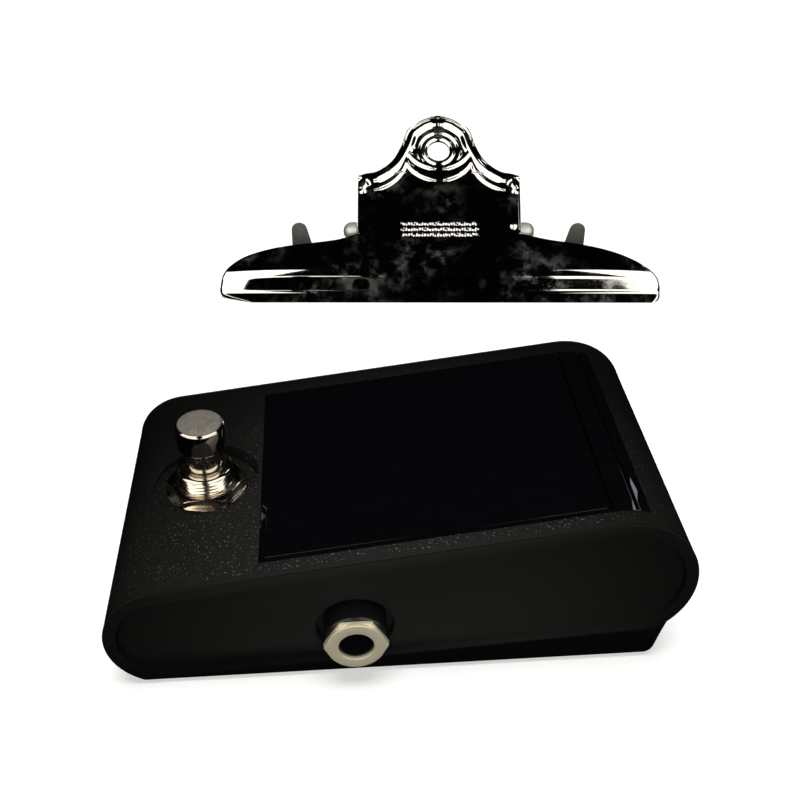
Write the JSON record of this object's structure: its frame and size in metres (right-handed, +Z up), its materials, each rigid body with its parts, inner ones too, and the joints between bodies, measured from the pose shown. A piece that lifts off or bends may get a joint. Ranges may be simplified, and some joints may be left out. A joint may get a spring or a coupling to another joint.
{
  "type": "floor tuner with board clip",
  "caption": "Wedge-shaped floor tuner with a glossy display, a footswitch and side jacks, lying in front of a chromed spring clip for a music board.",
  "frame": {"origin": "centre of the tuner's underside, on the face of its rubber sole", "axes": "+Z up, +X to the display end, +Y away from the input jack towards the board clip"},
  "size_m": [0.1552, 0.2078, 0.0432],
  "materials": {
    "housing_black": "satin, fine grain",
    "cover_black": "satin",
    "sole_rubber": "matte",
    "screw_steel": "dark zinc",
    "battery_case": "plain wrap",
    "snap_plastic": "matte",
    "lead_red": "wire sleeve",
    "lead_black": "wire sleeve",
    "foam": "open foam",
    "window_black": "smoked gloss",
    "mask_black": "matte",
    "circuit_green": "solder mask",
    "led_white": "clear epoxy",
    "chip_black": "moulded",
    "switch_blue": "moulded",
    "contact_metal": "tinned",
    "switch_gold": "nickel over brass",
    "spring_steel": "drawn wire",
    "plunger_chrome": "polished, worn top",
    "jack_black": "moulded",
    "jack_nickel": "satin nickel",
    "button_black": "matte",
    "clip_chrome": "polished",
    "clip_steel": "dull plated",
    "rod_nickel": "satin"
  },
  "bodies": {
    "tuner": {"upper_housing": "housing_black", "bottom_cover": "cover_black", "rubber_sole": "sole_rubber", "cover_screws": "screw_steel", "battery": "battery_case", "battery_snap": "snap_plastic", "battery_lead_red": "lead_red", "battery_lead_black": "lead_black", "battery_foam": "foam", "display_window": "window_black", "display_mask": "mask_black", "display_board": "circuit_green", "display_leds": "led_white", "main_board": "circuit_green", "main_board_chips": "chip_black", "board_header": "chip_black", "footswitch_body": "switch_blue", "footswitch_terminals": "contact_metal", "footswitch_bushing": "switch_gold", "footswitch_washer": "switch_gold", "footswitch_nut": "switch_gold", "footswitch_spring": "spring_steel", "input_jack_body": "jack_black", "input_jack_nut": "jack_nickel", "input_jack_contacts": "contact_metal", "output_jack_body": "jack_black", "output_jack_nut": "jack_nickel", "output_jack_contacts": "contact_metal", "end_board": "circuit_green", "tact_switches": "chip_black", "power_socket_body": "jack_black", "power_socket_pin": "contact_metal"},
    "footswitch": {"footswitch_plunger": "plunger_chrome"},
    "battery_door": {"battery_door": "cover_black"},
    "calibration_button": {"calibration_button": "button_black"},
    "display_button": {"display_button": "button_black"},
    "clip_base": {"clip_base_plate": "clip_steel", "clip_rod_ears": "clip_steel", "clip_paper_stops": "clip_steel", "clip_pivot_rod": "rod_nickel", "clip_spring": "spring_steel"},
    "clip_lever": {"clip_lever": "clip_chrome"}
  },
  "joints": [
    {"name": "footswitch_press", "type": "slide", "parent": "tuner", "child": "footswitch", "axis": [0, 0, -1], "range_m": [0, 0.003], "stiffness_N_per_m": 1500, "springref_m": -0.0015, "deforming": ["footswitch_spring"]},
    {"name": "battery_door_hinge", "type": "hinge", "parent": "tuner", "child": "battery_door", "pos_m": [0.0328, 0, 0.0022], "axis": [0, -1, 0], "range_deg": [0, 90]},
    {"name": "calibration_button_press", "type": "slide", "parent": "tuner", "child": "calibration_button", "axis": [-1, 0, 0], "range_m": [0, 0.0005], "stiffness_N_per_m": 800, "springref_m": -0.0005},
    {"name": "display_button_press", "type": "slide", "parent": "tuner", "child": "display_button", "axis": [-1, 0, 0], "range_m": [0, 0.0005], "stiffness_N_per_m": 800, "springref_m": -0.0005},
    {"name": "clip_lift", "type": "slide", "parent": "tuner", "child": "clip_base", "axis": [0, 0, 1], "range_m": [0, 0.1]},
    {"name": "clip_lever_hinge", "type": "hinge", "parent": "clip_base", "child": "clip_lever", "pos_m": [0.02601, 0.14134, 0.0134], "axis": [-0.9976, 0.0698, 0], "range_deg": [0, 30], "stiffness_Nm_per_rad": 0.3, "springref_deg": -51.57}
  ]
}
